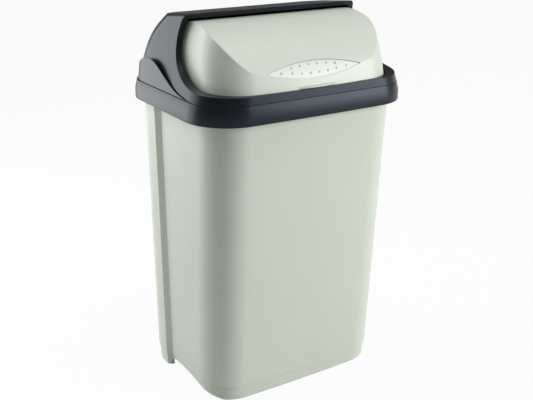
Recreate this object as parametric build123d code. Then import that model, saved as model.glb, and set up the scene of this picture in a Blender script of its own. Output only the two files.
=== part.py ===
from build123d import *
import math
import os

# Roll-top trash can, about 25 litres, sizes in mm.
# X is the width, the front faces -Y, Z is up and z = 0 is the floor.

# Lid band that grips the bucket's rim
BAND_HALF_WIDTH = 159.0
BAND_HALF_DEPTH = 128.1
BAND_CORNER = 60.0
BAND_BOW = 2.8
BAND_BOTTOM = 402.6
BAND_BEND = 415.0
BAND_TOP = 427.0
BAND_SHOULDER = 3.0
BAND_WALL = 2.5
THROAT_INSET = 9.5
LEDGE = 2.8

# Ears and back collar that carry the hood
EAR_STEP = 3.4
EAR_LEAN = 1.6
EAR_WALL = 3.2
EAR_GROOVE = 1.2
COLLAR_BACK_STEP = 2.9
COLLAR_BACK_LEAN = 7.6
COLLAR_CORNER = 54.0
EAR_PEAK = 463.0
EAR_CURVE = [
    (-78, 426), (-62, 428.2), (-35, 433), (5, 450.5), (27, 460.3), (45, EAR_PEAK), (62, 460), (88, 447), (132, 444),
]

# Bucket, open mouth and foot
MOUTH_GAP = 3.1
MOUTH_FLARE = 4.5
MOUTH_BOTTOM = 404.6
RIM_GAP = 0.7
RIM_THICKNESS = 2.4
RIM_CLEARANCE = 0.4
BUCKET_WALL = 2.2
BUCKET_FOOT_HALF_WIDTH = 146.75
BUCKET_FOOT_FRONT = 93.2
BUCKET_FOOT_BACK = 114.2
BUCKET_CORNER_FRONT = 49.0
BUCKET_CORNER_BACK = 58.0
BUCKET_BOW = 3.5
PANEL_RECESS = 6.3
PANEL_EDGE = 36.0
PANEL_STEP_RUN = 8.0
PLINTH_HEIGHT = 20.3
PLINTH_INSET = 2.0
PLINTH_WALL = 3.0
FLOOR_UNDERSIDE = 16.0
FLOOR_THICKNESS = 2.6
ARCH_HEIGHT = 13.6

# Hood
HOOD_LIFT = 0.5
HOOD_WALL = 2.4
HOOD_STEP_SIDE = 3.8
HOOD_STEP_FRONT = 2.6
HOOD_LEAN_SIDE = 0.245
HOOD_LEAN_FRONT = 0.13
HOOD_CORNER_FRONT = 57.0
HOOD_CORNER_BACK = 52.0
HOOD_BACK_RADIUS = 74.5
HOOD_BACK_BOTTOM = 441.0
HOOD_EAR_GAP = 0.8
HOOD_SEAM = 1.5
HOOD_SECTION_RISES = [0, 22.5, 46.5, 66.5, 80.5, 102.5]
ROOF_FRONT = (-20.5, 525.0)
ROOF_REAR_ANGLE = 69.5
ROOF_CORNER = 8.0
ROOF_EDGE_GAP = 0.05
SILL_TOP = 437.0
FASCIA_DROP = 6.4
EDGE_RETURN = 2.2
EDGE_GAP_SIDE = 4.5
EDGE_GAP_FRONT = 0.8
OPENING_CURVE = [ROOF_FRONT, (-12.6, 492), (-24, 464.4), (-47.5, 447.7), (-82, 439.6), (-140, SILL_TOP)]

# Hood pivot in the ears, and the room the hood needs behind it
HOOD_PIVOT = (40.0, 446.0)
HOOD_PIN_RADIUS = 4.0
HOOD_PIN_SEAT = 1.8
HOOD_PIN_HEAD = 6.5
HOOD_BOSS_RADIUS = 10.0
HOOD_BOSS_LENGTH = 5.0
REAR_INSET = 6.9
REAR_START = 50.0
REAR_TOP = 456.0
PIVOT_RELIEF_START = 38.0
PIVOT_RELIEF_TOP = 433.0

# Roll flap: a leaning wall cut by a drum about the flap pivot
FLAP_PIVOT = (-22.5, 408.5)
FLAP_DRUM = 107.0
FLAP_WALL = 2.4
FLAP_GAP_SIDE = 19.4
FLAP_GAP_FRONT = 10.3
FLAP_BOW = 8.5
FLAP_LEAN_FRONT = 0.2075
FLAP_LEAN_SIDE = 0.0024
FLAP_CORNER = 53.0
FLAP_BEND_START = 437.0
FLAP_SECTION_RISES = [-52, 0, 28, 55]
FLAP_BACK = 90.0
FLAP_BACK_CORNER = 10.0
FLAP_FRONT_ANGLE = 14.8
FLAP_REAR_ANGLE = 104.0
FLAP_RIB = 9.0
FLAP_HUB = 15.0
FLAP_PIN_RADIUS = 3.0
FLAP_PIN_HEAD = 5.0
FLAP_BOSS_LENGTH = 6.8
FLAP_BOSS_RADIUS = 7.0
PIN_HEAD_LENGTH = 2.4
PIN_END_PLAY = 0.4
LUG_GAP = 1.4
LUG_WALL = 2.2
LUG_RADIUS = 9.5
LUG_WEB = 3.0
LUG_WEB_DROP = 3.0

# Finger grip moulded in the flap
GRIP_HALF_LENGTH = 72.0
GRIP_TIP = 460.0
GRIP_TOP = 470.0
GRIP_BOTTOM = 450.0
GRIP_DEPTH = 0.9
NUB_SIZE = 2.6
NUB_HEIGHT = 0.8
NUB_PLACES = [
    (49.5, 459.0), (6.5, 465.6), (20.0, 465.0), (33.5, 463.4), (6.5, 455.6), (20.0, 456.2), (33.5, 457.6),
]
LIP_HALF_LENGTH = 28.0
LIP_REACH = 3.0
LIP_BOTTOM = 438.6
LIP_THICKNESS = 2.2
LIP_ROOT = 0.8

RUNNING_FIT = 0.06
REACH = 200.0
OVERCUT = 1.0

# Sizes that follow from the band
MOUTH_INSET = BAND_WALL + MOUTH_GAP
LEDGE_BOTTOM = BAND_TOP - LEDGE
BUCKET_TOP = LEDGE_BOTTOM - RIM_CLEARANCE
EAR_OUTSIDE = BAND_HALF_WIDTH - EAR_STEP
EAR_INSIDE = EAR_OUTSIDE - EAR_WALL
COLLAR_BACK = BAND_HALF_DEPTH - COLLAR_BACK_STEP
HOOD_BOTTOM = BAND_TOP + HOOD_LIFT
HOOD_HALF_WIDTH = BAND_HALF_WIDTH - HOOD_STEP_SIDE
HOOD_FRONT = BAND_HALF_DEPTH - HOOD_STEP_FRONT
HOOD_SIDE_AT_EAR = EAR_INSIDE - HOOD_EAR_GAP
UNDER_LID = BAND_BOTTOM - REACH / 4
FLAP_HALF_WIDTH = HOOD_HALF_WIDTH - FLAP_GAP_SIDE
FLAP_FRONT = HOOD_FRONT - FLAP_GAP_FRONT
FASCIA_BOTTOM = ROOF_FRONT[1] - FASCIA_DROP
LUG_INSIDE = FLAP_HALF_WIDTH + LUG_GAP
LUG_OUTSIDE = LUG_INSIDE + LUG_WALL


# Plan and side outlines
def plan(half_width, front, back, corner_front, corner_back, bow=0.0):
    left_front = (-half_width, -front)
    right_front = (half_width, -front)
    right_back = (half_width, back)
    left_back = (-half_width, back)
    if bow:
        front_edge = ThreePointArc(left_front, (0, -front - bow), right_front)
    else:
        front_edge = Line(left_front, right_front)
    sides = Polyline(right_front, right_back, left_back, left_front)
    face = make_face([front_edge, sides])
    face = fillet([v for v in face.vertices() if v.Y < 0], corner_front)
    return fillet([v for v in face.vertices() if v.Y > back - 0.1], corner_back)


def raise_to(face, height):
    return Pos(0, 0, height) * face


def column(face, bottom, top):
    return extrude(raise_to(face, bottom), top - bottom)


def side_prism(outline, x_from=-REACH, x_to=REACH):
    face = Plane.YZ * make_face(outline)
    return extrude(Pos(x_from, 0, 0) * face, x_to - x_from, dir=(1, 0, 0))


def side_disc(centre, radius, x_from, x_to):
    face = Plane.YZ * (Pos(*centre) * Circle(radius))
    return extrude(Pos(x_from, 0, 0) * face, x_to - x_from, dir=(1, 0, 0))


def slab(x_from, x_to, y_from, y_to, z_from, z_to):
    size = (x_to - x_from, y_to - y_from, z_to - z_from)
    centre = ((x_from + x_to) / 2, (y_from + y_to) / 2, (z_from + z_to) / 2)
    return Pos(*centre) * Box(*size)


def both_sides(piece):
    return [piece, mirror(piece, about=Plane.YZ)]


def polar(centre, radius, degrees):
    angle = math.radians(degrees)
    return (centre[0] + radius * math.cos(angle), centre[1] + radius * math.sin(angle))


def band_plan(inset=0.0):
    return plan(BAND_HALF_WIDTH - inset, BAND_HALF_DEPTH - inset, BAND_HALF_DEPTH - inset,
                BAND_CORNER - inset, BAND_CORNER - inset, BAND_BOW)


# Bucket
def bucket_plan(height, inset=0.0):
    share = height / BAND_BOTTOM
    top_half_width = BAND_HALF_WIDTH - MOUTH_INSET - MOUTH_FLARE
    top_half_depth = BAND_HALF_DEPTH - MOUTH_INSET - MOUTH_FLARE
    half_width = BUCKET_FOOT_HALF_WIDTH + (top_half_width - BUCKET_FOOT_HALF_WIDTH) * share - inset
    front = BUCKET_FOOT_FRONT + (top_half_depth - BUCKET_FOOT_FRONT) * share - inset
    back = BUCKET_FOOT_BACK + (top_half_depth - BUCKET_FOOT_BACK) * share - inset
    recessed = half_width - PANEL_RECESS
    panel_edge = PANEL_EDGE + inset
    pilaster_edge = panel_edge + PANEL_STEP_RUN
    edges = [
        ThreePointArc((-recessed, -front), (0, -front - BUCKET_BOW), (recessed, -front)),
        Polyline(
            (recessed, -front),
            (recessed, panel_edge),
            (half_width, pilaster_edge),
            (half_width, back),
            (-half_width, back),
            (-half_width, pilaster_edge),
            (-recessed, panel_edge),
            (-recessed, -front),
        ),
    ]
    face = make_face(edges)
    face = fillet([v for v in face.vertices() if v.Y < 0], BUCKET_CORNER_FRONT - inset)
    return fillet([v for v in face.vertices() if v.Y > back - 0.1], BUCKET_CORNER_BACK - inset)


def bucket_taper(bottom, top, inset=0.0):
    return loft([raise_to(bucket_plan(bottom, inset), bottom), raise_to(bucket_plan(top, inset), top)], ruled=True)


def foot_arch():
    below = -2.0
    back = PANEL_EDGE + PANEL_STEP_RUN / 2
    curve = Spline(
        (back + 0.5, below),
        (back - 1, 0.7 * ARCH_HEIGHT),
        (back - 11, 0.93 * ARCH_HEIGHT),
        (back - 43, ARCH_HEIGHT),
        (back - 75, 0.86 * ARCH_HEIGHT),
        (back - 102, 0.48 * ARCH_HEIGHT),
        (back - 128, below),
    )
    return side_prism([curve, Line((back - 128, below), (back + 0.5, below))])


def make_bucket():
    body = bucket_taper(PLINTH_HEIGHT, MOUTH_BOTTOM)
    plinth = bucket_taper(0, PLINTH_HEIGHT, PLINTH_INSET)
    mouth = column(band_plan(MOUTH_INSET), MOUTH_BOTTOM, BUCKET_TOP)
    rim = column(band_plan(BAND_WALL + RIM_GAP), BUCKET_TOP - RIM_THICKNESS, BUCKET_TOP)
    outside = body + plinth + mouth + rim
    shelf_top = MOUTH_BOTTOM + BUCKET_WALL
    inside = bucket_taper(FLOOR_UNDERSIDE + FLOOR_THICKNESS, shelf_top, BUCKET_WALL)
    inside += column(band_plan(MOUTH_INSET + BUCKET_WALL), shelf_top, BUCKET_TOP + 1)
    recess_below = bucket_taper(-1, FLOOR_UNDERSIDE, PLINTH_INSET + PLINTH_WALL)
    return outside - inside - recess_below - foot_arch()


# Lid ring with its ears
def collar_outer(inset=0.0):
    low = plan(EAR_OUTSIDE - inset, BAND_HALF_DEPTH - inset, COLLAR_BACK - inset, BAND_CORNER, BAND_CORNER)
    high = plan(EAR_OUTSIDE - EAR_LEAN - inset, BAND_HALF_DEPTH - inset, COLLAR_BACK - COLLAR_BACK_LEAN - inset,
                BAND_CORNER, BAND_CORNER)
    return loft([raise_to(low, LEDGE_BOTTOM), raise_to(high, EAR_PEAK)], ruled=True)


def ear_outline(rise=0.0):
    curve = [(y, z + rise) for y, z in EAR_CURVE]
    base = LEDGE_BOTTOM
    return [
        Spline(*curve),
        Polyline(curve[-1], (curve[-1][0], base), (curve[0][0], base), curve[0]),
    ]


def make_lid_ring():
    low = column(band_plan(), BAND_BOTTOM, BAND_BEND)
    high = loft([raise_to(band_plan(), BAND_BEND), raise_to(band_plan(BAND_SHOULDER), BAND_TOP)], ruled=True)
    skirt = column(band_plan(BAND_WALL), BAND_BOTTOM - 1, LEDGE_BOTTOM)
    throat = column(band_plan(THROAT_INSET), LEDGE_BOTTOM - 1, BAND_TOP + 1)
    inner_plan = plan(EAR_INSIDE, REACH, COLLAR_BACK - COLLAR_BACK_LEAN - 1, COLLAR_CORNER, COLLAR_CORNER)
    inner = column(inner_plan, LEDGE_BOTTOM - 1, EAR_PEAK + 1)
    collar = (collar_outer() - inner) & side_prism(ear_outline())
    groove = slab(-REACH, REACH, -REACH, REACH, BAND_TOP, BAND_TOP + EAR_GROOVE) - collar_outer(EAR_GROOVE)
    ring = low + high - skirt - throat + (collar - groove)
    for hole in both_sides(side_disc(HOOD_PIVOT, HOOD_PIN_RADIUS, EAR_INSIDE - 5, EAR_INSIDE + HOOD_PIN_SEAT)):
        ring -= hole
    return ring


# Hood
def hood_half_width(height):
    return HOOD_HALF_WIDTH - HOOD_LEAN_SIDE * (height - HOOD_BOTTOM)


def hood_section(height, inset):
    rise = min(height - HOOD_PIVOT[1], HOOD_BACK_RADIUS - 2 * OVERCUT)
    back = HOOD_PIVOT[0] + math.sqrt(HOOD_BACK_RADIUS ** 2 - rise ** 2)
    face = plan(
        hood_half_width(height) - inset,
        HOOD_FRONT - HOOD_LEAN_FRONT * (height - HOOD_BOTTOM) - inset,
        back - inset,
        HOOD_CORNER_FRONT - inset,
        HOOD_CORNER_BACK - inset,
        BAND_BOW,
    )
    return raise_to(face, height)


def back_outline(inset):
    radius = HOOD_BACK_RADIUS - inset
    start = polar(HOOD_PIVOT, radius, 0)
    top = polar(HOOD_PIVOT, radius, 90)
    above = top[1] + REACH
    return [
        ThreePointArc(start, polar(HOOD_PIVOT, radius, 45), top),
        Polyline(top, (top[0], above), (-REACH, above), (-REACH, UNDER_LID), (start[0], UNDER_LID), start),
    ]


def roof_height(y):
    rear_y, rear_z = polar(HOOD_PIVOT, HOOD_BACK_RADIUS, ROOF_REAR_ANGLE)
    slope = (rear_z - ROOF_FRONT[1]) / (rear_y - ROOF_FRONT[0])
    return ROOF_FRONT[1] + slope * (y - ROOF_FRONT[0])


def roof_section(y, inset):
    top = roof_height(y) - inset
    gap = ROOF_EDGE_GAP - inset
    upper = hood_half_width(top) + gap
    lower = hood_half_width(UNDER_LID) + gap
    section = make_face([Polyline((-upper, top), (upper, top), (lower, UNDER_LID), (-lower, UNDER_LID), (-upper, top))])
    section = fillet([v for v in section.vertices() if v.Y > HOOD_BOTTOM], ROOF_CORNER - inset)
    return Pos(0, y, 0) * (Plane.XZ * section)


def roof_prism(inset):
    return loft([roof_section(-REACH, inset), roof_section(REACH, inset)], ruled=True)


def hood_block(inset=0.0):
    block = loft([hood_section(HOOD_BOTTOM + rise, inset) for rise in HOOD_SECTION_RISES])
    block = block & side_prism(back_outline(inset)) & roof_prism(inset)
    ear_space = side_prism(ear_outline(HOOD_SEAM + inset), HOOD_SIDE_AT_EAR - inset, REACH)
    rear_side = EAR_INSIDE - REAR_INSET - inset
    rear_space = slab(rear_side, REACH, REAR_START - inset, REACH, UNDER_LID, REAR_TOP + inset)
    for space in both_sides(ear_space) + both_sides(rear_space):
        block -= space
    return block


def opening_outline(shift=0.0):
    curve = [(y + shift, z - shift) for y, z in OPENING_CURVE]
    front = curve[-1]
    above = (curve[0][0], curve[0][1] + REACH)
    return [
        Spline(*curve),
        Polyline(front, (front[0], UNDER_LID), (REACH, UNDER_LID), (REACH, above[1]), above, curve[0]),
    ]


def flap_column(inset, front_gap):
    sections = []
    for rise in FLAP_SECTION_RISES + [FASCIA_BOTTOM - FLAP_BEND_START]:
        half_width = FLAP_HALF_WIDTH - FLAP_LEAN_SIDE * max(0, rise) ** 2 - inset
        front = FLAP_FRONT - FLAP_LEAN_FRONT * rise - front_gap
        face = plan(half_width, front, FLAP_BACK - inset, FLAP_CORNER - inset, FLAP_BACK_CORNER, FLAP_BOW)
        sections.append(raise_to(face, FLAP_BEND_START + rise))
    return loft(sections)


def make_lug(outer):
    y, z = FLAP_PIVOT
    web_top = SILL_TOP - LUG_WEB_DROP
    web = slab(LUG_INSIDE, HOOD_HALF_WIDTH, y - LUG_RADIUS, y + LUG_RADIUS, web_top - LUG_WEB, web_top)
    plate = slab(LUG_INSIDE, LUG_OUTSIDE, y - LUG_RADIUS, y + LUG_RADIUS, z, web_top)
    return plate + side_disc(FLAP_PIVOT, LUG_RADIUS, LUG_INSIDE, LUG_OUTSIDE) + (web & outer)


def make_hood():
    outer = hood_block()
    shell = outer - hood_block(HOOD_WALL)
    shell -= slab(-REACH, REACH, REAR_START, REACH, UNDER_LID, HOOD_BACK_BOTTOM)
    shell -= slab(-REACH, REACH, PIVOT_RELIEF_START, REACH, UNDER_LID, PIVOT_RELIEF_TOP)
    core = flap_column(-EDGE_GAP_SIDE, -EDGE_GAP_FRONT)
    edge_strip = side_prism(opening_outline()) - side_prism(opening_outline(EDGE_RETURN))
    hood = (shell & side_prism(opening_outline())) + ((outer - core) & edge_strip)
    boss = side_disc(HOOD_PIVOT, HOOD_BOSS_RADIUS, HOOD_SIDE_AT_EAR - HOOD_BOSS_LENGTH, HOOD_SIDE_AT_EAR)
    for piece in both_sides(make_lug(outer)) + both_sides(boss):
        hood += piece
    flap_pin_hole = side_disc(FLAP_PIVOT, FLAP_PIN_RADIUS, LUG_INSIDE - OVERCUT, LUG_OUTSIDE + OVERCUT)
    hood_pin_inner = HOOD_SIDE_AT_EAR - HOOD_BOSS_LENGTH - OVERCUT
    hood_pin_hole = side_disc(HOOD_PIVOT, HOOD_PIN_RADIUS + RUNNING_FIT, hood_pin_inner, EAR_OUTSIDE)
    for hole in both_sides(flap_pin_hole) + both_sides(hood_pin_hole):
        hood -= hole
    return hood


# Roll flap
def flap_block(inset):
    block = flap_column(inset, inset)
    return block & side_disc(FLAP_PIVOT, FLAP_DRUM - inset, -REACH, REACH)


def flap_sector():
    far = 2 * FLAP_DRUM
    first = 180 - FLAP_FRONT_ANGLE
    last = 180 - FLAP_REAR_ANGLE
    middle = (first + last) / 2
    corners = [polar(FLAP_PIVOT, far, first), polar(FLAP_PIVOT, far, middle), polar(FLAP_PIVOT, far, last)]
    return side_prism([Polyline(FLAP_PIVOT, *corners, FLAP_PIVOT)])


def rear_rib():
    last = 180 - FLAP_REAR_ANGLE
    turn = math.degrees(FLAP_WALL / FLAP_DRUM)
    low = FLAP_DRUM - FLAP_RIB
    high = FLAP_DRUM + FLAP_RIB
    corners = [
        polar(FLAP_PIVOT, low, last),
        polar(FLAP_PIVOT, high, last),
        polar(FLAP_PIVOT, high, last + turn),
        polar(FLAP_PIVOT, low, last + turn),
    ]
    return side_prism([Polyline(*corners, corners[0])])


def grip_prism():
    upper = ThreePointArc((-GRIP_HALF_LENGTH, GRIP_TIP), (0, GRIP_TOP), (GRIP_HALF_LENGTH, GRIP_TIP))
    lower = ThreePointArc((GRIP_HALF_LENGTH, GRIP_TIP), (0, GRIP_BOTTOM), (-GRIP_HALF_LENGTH, GRIP_TIP))
    return extrude(Plane.XZ * make_face([upper, lower]), REACH, dir=(0, -1, 0))


def grip_floor(x, z):
    wall_front = FLAP_FRONT + FLAP_BOW * (1 - (x / FLAP_HALF_WIDTH) ** 2)
    wall = -wall_front + FLAP_LEAN_FRONT * (z - FLAP_BEND_START)
    drum = FLAP_PIVOT[0] - math.sqrt(FLAP_DRUM ** 2 - (z - FLAP_PIVOT[1]) ** 2)
    return max(wall, drum) + GRIP_DEPTH


def make_nub(x, z):
    centre = (x, grip_floor(x, z), z)
    return Pos(*centre) * Rot(0, 45, 0) * Box(NUB_SIZE / math.sqrt(2), 2 * NUB_HEIGHT, NUB_SIZE / math.sqrt(2))


def make_lip():
    front = -FLAP_FRONT - FLAP_BOW
    root = front + LIP_ROOT
    left = (-LIP_HALF_LENGTH, root)
    right = (LIP_HALF_LENGTH, root)
    arc = ThreePointArc(left, (0, front - LIP_REACH), right)
    inner = root + FLAP_WALL / 2
    back = Polyline(right, (LIP_HALF_LENGTH, inner), (-LIP_HALF_LENGTH, inner), left)
    return column(make_face([arc, back]), LIP_BOTTOM, LIP_BOTTOM + LIP_THICKNESS)


def make_flap():
    outer = flap_block(0)
    carved = outer - ((outer - flap_block(GRIP_DEPTH)) & grip_prism())
    sector = flap_sector() + side_disc(FLAP_PIVOT, FLAP_HUB, -REACH, REACH)
    flap = (carved - flap_block(FLAP_WALL)) & sector
    flap += rear_rib() & outer
    boss_inner = FLAP_HALF_WIDTH - FLAP_BOSS_LENGTH
    boss = side_disc(FLAP_PIVOT, FLAP_BOSS_RADIUS, boss_inner, FLAP_HALF_WIDTH - FLAP_WALL / 2)
    for piece in both_sides(boss):
        flap += piece
    for x, z in NUB_PLACES:
        flap += make_nub(x, z)
        flap += make_nub(-x, z)
    flap += make_lip()
    hole = side_disc(FLAP_PIVOT, FLAP_PIN_RADIUS + RUNNING_FIT, boss_inner - OVERCUT, LUG_OUTSIDE)
    for side_hole in both_sides(hole):
        flap -= side_hole
    return flap


# Pins
def make_pin(centre, radius, head_radius, inner_end, outer_end):
    head_end = inner_end - PIN_END_PLAY
    shaft = side_disc(centre, radius, head_end - 1, outer_end)
    head = side_disc(centre, head_radius, head_end - PIN_HEAD_LENGTH, head_end)
    return shaft + head


def make_flap_pin():
    inner_end = FLAP_HALF_WIDTH - FLAP_BOSS_LENGTH
    return make_pin(FLAP_PIVOT, FLAP_PIN_RADIUS, FLAP_PIN_HEAD, inner_end, LUG_OUTSIDE)


def make_hood_pin():
    inner_end = HOOD_SIDE_AT_EAR - HOOD_BOSS_LENGTH
    return make_pin(HOOD_PIVOT, HOOD_PIN_RADIUS, HOOD_PIN_HEAD, inner_end, EAR_INSIDE + HOOD_PIN_SEAT)


def save(node, solid):
    placed = Pos(0, BAND_BOW / 2, 0) * solid
    export_step(placed, f"parts/{node}.step")


def save_pair(node, solid):
    right, left = both_sides(solid)
    save(f"{node}_right", right)
    save(f"{node}_left", left)


def main():
    os.makedirs("parts", exist_ok=True)
    save("bucket", make_bucket())
    save("lid_ring", make_lid_ring())
    save("hood", make_hood())
    save("roll_flap", make_flap())
    save_pair("flap_pin", make_flap_pin())
    save_pair("hood_pin", make_hood_pin())


main()
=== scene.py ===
import bpy
import math
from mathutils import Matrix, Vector

# A roll-top kitchen bin in two colours of moulded polypropylene.
# Metres, Z up, the front faces -Y. Lamp powers are in watts.

MM = 0.001

# The camera's place, how far it is turned to the right and tilted down, and its lens and sensor in mm
CAMERA_PLACE = (-0.6144, -0.9830, 0.6799)
CAMERA_YAW = math.radians(32.02)
CAMERA_PITCH = math.radians(20.42)
CAMERA_LENS = 57.87
CAMERA_SENSOR = 36

# Colours of the plastics, as sRGB hex. Each plastic drifts a little from its colour to its shade
SAGE_GREEN = "CDD4C7"
SAGE_SHADE = "C7CFC0"
FLAP_GREEN = "CCD2C6"
FLAP_SHADE = "C7CDC0"
# Paler green painted on the finger grip as the sheen of its polish
PAINTED_SHEEN_GREEN = "D9DDD4"
ANTHRACITE = "1B1F24"
ANTHRACITE_SHADE = "181C20"
PIN_BLACK = "17191B"
PIN_SHADE = "141618"
# Black that the painted shade in the seams darkens towards
SEAM_SHADE_BLACK = "000000"

# Tint of the reflections
PLAIN_GLOSS = "FFFFFF"
BLUISH_GLOSS = "D2E6FA"

# Refractive index of polypropylene and acetal, and the usual strength of a plastic's reflections
PLASTIC_IOR = 1.49
PLASTIC_SHINE = 0.5

# Width of the cloudy drift in colour
CLOUD_WIDTH = 70 * MM

# Grain of the mould: width and depth of its grit, how much it changes the roughness either way,
# the share of the bump that shows, and the range of the noise that counts
GRAIN_WIDTH = 1.6 * MM
GRAIN_DEPTH = 0.05 * MM
PIN_GRAIN_WIDTH = 1.0 * MM
FAINT_GRAIN_DEPTH = 0.02 * MM
GRAIN_SHEEN = 0.03
GRAIN_STRENGTH = 0.5
NOISE_LOW = 0.3
NOISE_HIGH = 0.7

# The lens-shaped finger grip on the flap: half its length and height, the height of its middle,
# and the plane that all of it lies in front of
GRIP_HALF_LENGTH = 72 * MM
GRIP_HALF_HEIGHT = 10 * MM
GRIP_MIDDLE = 460 * MM
GRIP_BEHIND = -90 * MM

# Moulded edges have a small radius
EDGE_RADIUS = 0.7 * MM
EDGE_SAMPLES = 4

# Painted shade in the seams, where light hardly reaches: how near the other wall is, how dark
# the painted shade gets, and the open share of the surroundings where it is darkest and where it ends
SEAM_REACH = 2.5 * MM
SEAM_SHADE_DARKNESS = 0.6
SEAM_CLOSED = 0.35
SEAM_OPEN = 0.75
SEAM_SAMPLES = 8

# Corners nearer than this are joined, and bends that turn by less than this are shaded smooth
JOIN_DISTANCE = 0.01 * MM
SMOOTH_BEND = math.radians(28)
SMOOTH_BEND_FLAP = math.radians(10)

# Floor: its colours, how much of what the camera sees of it is plain white, and half its width
FLOOR_WHITE = "FFFFFF"
FLOOR_MATT = "C8C8C8"
FLOOR_GLOW = 0.95
FLOOR_REACH = 14.0

# Strength of the even light from all round, and of the white background
FILL_STRENGTH = 0.10
BACKDROP_STRENGTH = 1.0
WHITE = (1, 1, 1, 1)

# Softboxes: place, width, height and power. All of them aim at the middle of the bin
SOFTBOX_AIM = (0, 0, 0.3)
SOFTBOXES = {
    "left softbox": ((-0.70, 0.74, 0.72), 1.1, 1.4, 15.5),
    "right softbox": ((2.05, -2.2, 1.15), 1.8, 1.8, 90),
    "overhead softbox": ((0.2, -0.4, 2.6), 1.6, 1.6, 25),
}


def linear(hex_colour):
    """sRGB hex to linear RGBA."""
    channels = [int(hex_colour[i:i + 2], 16) / 255 for i in (0, 2, 4)]
    curve = [c / 12.92 if c <= 0.04045 else ((c + 0.055) / 1.055) ** 2.4 for c in channels]
    return (*curve, 1.0)


def add_node(tree, kind, inputs=None, **settings):
    """A node with its settings, and its inputs given as values or as sockets to link."""
    node = tree.nodes.new(kind)
    for name, value in settings.items():
        setattr(node, name, value)
    for socket, value in (inputs or {}).items():
        if isinstance(value, bpy.types.NodeSocket):
            tree.links.new(value, node.inputs[socket])
        else:
            node.inputs[socket].default_value = value
    return node


def new_material(name):
    """An empty node material."""
    material = bpy.data.materials.new(name)
    material.use_nodes = True
    material.node_tree.nodes.clear()
    return material


def cloudy_colour(tree, place, colour, shade):
    """The pigment is never quite even: wide soft clouds between a colour and a slightly darker shade."""
    clouds = add_node(tree, "ShaderNodeTexNoise", {
        "Vector": place,
        "Scale": 1 / CLOUD_WIDTH,
        "Detail": 2.0,
    })
    return add_node(tree, "ShaderNodeMix", {
        "Factor": clouds.outputs["Fac"],
        "A": linear(colour),
        "B": linear(shade),
    }, data_type="RGBA").outputs["Result"]


def grainy_roughness(tree, grit, roughness):
    """Roughness that rises and falls a little with the grain."""
    return add_node(tree, "ShaderNodeMapRange", {
        "Value": grit.outputs["Fac"],
        "From Min": NOISE_LOW,
        "From Max": NOISE_HIGH,
        "To Min": roughness - GRAIN_SHEEN,
        "To Max": roughness + GRAIN_SHEEN,
    }).outputs["Result"]


def painted_seam_shade(tree, tint):
    """The colour with painted shade: darkened where another wall stands close by."""
    seam = add_node(tree, "ShaderNodeAmbientOcclusion", {"Distance": SEAM_REACH}, samples=SEAM_SAMPLES)
    shade_share = add_node(tree, "ShaderNodeMapRange", {
        "Value": seam.outputs["AO"],
        "From Min": SEAM_CLOSED,
        "From Max": SEAM_OPEN,
        "To Min": SEAM_SHADE_DARKNESS,
        "To Max": 0.0,
    })
    return add_node(tree, "ShaderNodeMix", {
        "Factor": shade_share.outputs["Result"],
        "A": tint,
        "B": linear(SEAM_SHADE_BLACK),
    }, data_type="RGBA").outputs["Result"]


def grained_normal(tree, grit, depth):
    """Rounded moulded edges with the grain's bumps on top."""
    edge = add_node(tree, "ShaderNodeBevel", {"Radius": EDGE_RADIUS}, samples=EDGE_SAMPLES)
    return add_node(tree, "ShaderNodeBump", {
        "Height": grit.outputs["Fac"],
        "Strength": GRAIN_STRENGTH,
        "Distance": depth,
        "Normal": edge.outputs["Normal"],
    }).outputs["Normal"]


def moulded_plastic(name, colour, shade, roughness, grain=GRAIN_WIDTH, depth=GRAIN_DEPTH,
                    gloss=PLAIN_GLOSS, shine=PLASTIC_SHINE, painted_sheen=None):
    """Injection-moulded plastic with a fine spark-eroded grain and softly rounded edges.

    The eye sees a satin surface with broad soft highlights and thin dark seams; the seams' shade
    is painted into the colour. The real grain is about 0.3 mm, too fine to show, so it is drawn as
    coarse as it needs to be to break up the highlights. The optional mask function adds the nodes of
    a mask, which is 1 where the mould has a polish; there its sheen is painted on as a paler colour.
    """
    material = new_material(name)
    tree = material.node_tree
    place = add_node(tree, "ShaderNodeTexCoord").outputs["Object"]
    tint = cloudy_colour(tree, place, colour, shade)
    grit = add_node(tree, "ShaderNodeTexNoise", {"Vector": place, "Scale": 1 / grain, "Detail": 3.0})
    # Painted sheen: where the mask is 1, the colour turns to the paler green
    if painted_sheen:
        tint = add_node(tree, "ShaderNodeMix", {
            "Factor": painted_sheen(tree, place),
            "A": tint,
            "B": linear(PAINTED_SHEEN_GREEN),
        }, data_type="RGBA").outputs["Result"]
    shader = add_node(tree, "ShaderNodeBsdfPrincipled", {
        # The base colour carries painted shade in the seams
        "Base Color": painted_seam_shade(tree, tint),
        "Roughness": grainy_roughness(tree, grit, roughness),
        "Normal": grained_normal(tree, grit, depth),
        "IOR": PLASTIC_IOR,
        "Specular Tint": linear(gloss),
        "Specular IOR Level": shine,
    })
    add_node(tree, "ShaderNodeOutputMaterial", {"Surface": shader.outputs["BSDF"]})
    return material


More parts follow.
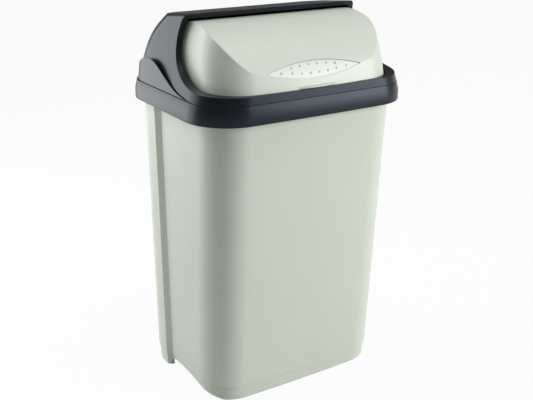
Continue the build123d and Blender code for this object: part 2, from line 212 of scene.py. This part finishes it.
def grip_mask(tree, place):
    """1 inside the finger grip and 0 elsewhere.

    The grip is the lens between the parabolas z = middle + reach and z = middle - reach,
    where reach is half its height times 1 minus the square of x over half its length.
    """
    axes = add_node(tree, "ShaderNodeSeparateXYZ", {"Vector": place})
    along = add_node(tree, "ShaderNodeMath", {
        0: axes.outputs["X"],
        1: GRIP_HALF_LENGTH,
    }, operation="DIVIDE")
    square = add_node(tree, "ShaderNodeMath", {0: along.outputs[0], 1: 2.0}, operation="POWER")
    share = add_node(tree, "ShaderNodeMath", {0: 1.0, 1: square.outputs[0]}, operation="SUBTRACT")
    reach = add_node(tree, "ShaderNodeMath", {
        0: share.outputs[0],
        1: GRIP_HALF_HEIGHT,
    }, operation="MULTIPLY")
    rise = add_node(tree, "ShaderNodeMath", {0: axes.outputs["Z"], 1: GRIP_MIDDLE}, operation="SUBTRACT")
    away = add_node(tree, "ShaderNodeMath", {0: rise.outputs[0]}, operation="ABSOLUTE")
    inside = add_node(tree, "ShaderNodeMath", {
        0: away.outputs[0],
        1: reach.outputs[0],
    }, operation="LESS_THAN")
    front = add_node(tree, "ShaderNodeMath", {
        0: axes.outputs["Y"],
        1: GRIP_BEHIND,
    }, operation="LESS_THAN")
    return add_node(tree, "ShaderNodeMath", {
        0: inside.outputs[0],
        1: front.outputs[0],
    }, operation="MULTIPLY").outputs[0]


def sage_polypropylene():
    """Sage green polypropylene with a satin grain: a pale wall with wide, soft, dull highlights."""
    return moulded_plastic("moulded polypropylene, sage", SAGE_GREEN, SAGE_SHADE, 0.42)


def flap_polypropylene():
    """The same green a little smoother; the finger grip has a mould polish, and its sheen is painted on
    as a paler green.
    """
    return moulded_plastic("moulded polypropylene, flap", FLAP_GREEN, FLAP_SHADE, 0.38,
                           painted_sheen=grip_mask)


def anthracite_polypropylene():
    """Anthracite polypropylene with a faint grain: nearly black, with bluish satin reflections."""
    return moulded_plastic("moulded polypropylene, anthracite", ANTHRACITE, ANTHRACITE_SHADE, 0.30,
                           depth=FAINT_GRAIN_DEPTH, gloss=BLUISH_GLOSS, shine=0.27)


def black_acetal():
    """Black acetal for the pins: smooth and slightly glossy, as a bearing surface is."""
    return moulded_plastic("moulded acetal, black", PIN_BLACK, PIN_SHADE, 0.28,
                           grain=PIN_GRAIN_WIDTH, depth=FAINT_GRAIN_DEPTH)


def studio_floor_material():
    """Matt white floor that the camera and reflections see nearly as bright as the white background."""
    material = new_material("white studio floor")
    tree = material.node_tree
    seen = add_node(tree, "ShaderNodeLightPath")
    direct = add_node(tree, "ShaderNodeMath", {
        0: seen.outputs["Is Camera Ray"],
        1: seen.outputs["Is Glossy Ray"],
    }, operation="MAXIMUM")
    share = add_node(tree, "ShaderNodeMath", {
        0: direct.outputs["Value"],
        1: FLOOR_GLOW,
    }, operation="MULTIPLY")
    matt = add_node(tree, "ShaderNodeBsdfDiffuse", {"Color": linear(FLOOR_MATT)})
    glow = add_node(tree, "ShaderNodeEmission", {"Color": linear(FLOOR_WHITE), "Strength": 1.0})
    both = add_node(tree, "ShaderNodeMixShader", {
        0: share.outputs["Value"],
        1: matt.outputs["BSDF"],
        2: glow.outputs["Emission"],
    })
    add_node(tree, "ShaderNodeOutputMaterial", {"Surface": both.outputs["Shader"]})
    return material


def soft_shading(name, smooth_bend):
    """A modifier tree that joins the facets and shades gentle bends smooth."""
    tree = bpy.data.node_groups.new(name, "GeometryNodeTree")
    tree.interface.new_socket("Geometry", in_out="INPUT", socket_type="NodeSocketGeometry")
    tree.interface.new_socket("Geometry", in_out="OUTPUT", socket_type="NodeSocketGeometry")
    start = add_node(tree, "NodeGroupInput")
    joined = add_node(tree, "GeometryNodeMergeByDistance", {
        "Geometry": start.outputs[0],
        "Distance": JOIN_DISTANCE,
    })
    faces = add_node(tree, "GeometryNodeSetShadeSmooth", {
        "Geometry": joined.outputs[0],
        "Shade Smooth": True,
    })
    bend = add_node(tree, "GeometryNodeInputMeshEdgeAngle")
    gentle = add_node(tree, "FunctionNodeCompare", {
        "A": bend.outputs["Unsigned Angle"],
        "B": smooth_bend,
    }, operation="LESS_THAN")
    edges = add_node(tree, "GeometryNodeSetShadeSmooth", {
        "Geometry": faces.outputs[0],
        "Shade Smooth": gentle.outputs["Result"],
    }, domain="EDGE")
    add_node(tree, "NodeGroupOutput", {0: edges.outputs[0]})
    return tree


def dress(node, material, shading):
    """A CAD node keeps its mesh and gets its plastic and smooth shading."""
    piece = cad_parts[node]
    piece.data.materials.clear()
    piece.data.materials.append(material)
    modifier = piece.modifiers.new("soft shading", "NODES")
    modifier.node_group = shading


def make_floor():
    """A level square, far wider than the picture."""
    mesh = bpy.data.meshes.new("floor")
    corners = [(-FLOOR_REACH, -FLOOR_REACH, 0), (FLOOR_REACH, -FLOOR_REACH, 0),
               (FLOOR_REACH, FLOOR_REACH, 0), (-FLOOR_REACH, FLOOR_REACH, 0)]
    mesh.from_pydata(corners, [], [(0, 1, 2, 3)])
    mesh.materials.append(studio_floor_material())
    floor = bpy.data.objects.new("floor", mesh)
    bpy.context.scene.collection.objects.link(floor)


def make_softbox(name, place, width, height, power):
    """A rectangular lamp that the camera doesn't see, turned to the bin."""
    lamp = bpy.data.lights.new(name, "AREA")
    lamp.shape = "RECTANGLE"
    lamp.size = width
    lamp.size_y = height
    lamp.energy = power
    softbox = bpy.data.objects.new(name, lamp)
    softbox.location = place
    softbox.visible_camera = False
    softbox.rotation_euler = (Vector(SOFTBOX_AIM) - Vector(place)).to_track_quat("-Z", "Y").to_euler()
    bpy.context.scene.collection.objects.link(softbox)


def make_lights():
    """Softboxes behind to the left and far to the right leave the corner that faces the camera dark."""
    for name, (place, width, height, power) in SOFTBOXES.items():
        make_softbox(name, place, width, height, power)


def make_world():
    """White to the camera, and a low even grey light on the object."""
    world = bpy.data.worlds.new("studio")
    world.use_nodes = True
    tree = world.node_tree
    tree.nodes.clear()
    seen = add_node(tree, "ShaderNodeLightPath")
    fill = add_node(tree, "ShaderNodeBackground", {"Color": WHITE, "Strength": FILL_STRENGTH})
    backdrop = add_node(tree, "ShaderNodeBackground", {"Color": WHITE, "Strength": BACKDROP_STRENGTH})
    both = add_node(tree, "ShaderNodeMixShader", {
        0: seen.outputs["Is Camera Ray"],
        1: fill.outputs["Background"],
        2: backdrop.outputs["Background"],
    })
    add_node(tree, "ShaderNodeOutputWorld", {"Surface": both.outputs["Shader"]})
    bpy.context.scene.world = world


def make_camera():
    """The photograph's viewing angle."""
    data = bpy.data.cameras.new("camera")
    data.sensor_width = CAMERA_SENSOR
    data.lens = CAMERA_LENS
    camera = bpy.data.objects.new("camera", data)
    camera.location = CAMERA_PLACE
    camera.rotation_euler = (math.pi / 2 - CAMERA_PITCH, 0, -CAMERA_YAW)
    bpy.context.scene.collection.objects.link(camera)
    bpy.context.scene.camera = camera


def dress_bin():
    """Every node of the bin gets its plastic."""
    shading = soft_shading("smooth gentle bends", SMOOTH_BEND)
    flap_shading = soft_shading("smooth very gentle bends", SMOOTH_BEND_FLAP)
    green = sage_polypropylene()
    flap_green = flap_polypropylene()
    anthracite = anthracite_polypropylene()
    pin_black = black_acetal()
    dress("bucket", green, shading)
    dress("roll_flap", flap_green, flap_shading)
    dress("lid_ring", anthracite, shading)
    dress("hood", anthracite, shading)
    for pin in ("flap_pin_left", "flap_pin_right", "hood_pin_left", "hood_pin_right"):
        dress(pin, pin_black, shading)


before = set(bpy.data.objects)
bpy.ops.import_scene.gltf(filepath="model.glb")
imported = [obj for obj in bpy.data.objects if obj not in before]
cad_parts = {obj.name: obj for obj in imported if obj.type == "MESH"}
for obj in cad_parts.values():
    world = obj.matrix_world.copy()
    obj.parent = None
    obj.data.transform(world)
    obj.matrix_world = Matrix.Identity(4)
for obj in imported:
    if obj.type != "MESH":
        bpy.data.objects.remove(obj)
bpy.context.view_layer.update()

bpy.context.scene.view_settings.view_transform = "Standard"
make_camera()
make_world()
make_lights()
make_floor()
dress_bin()
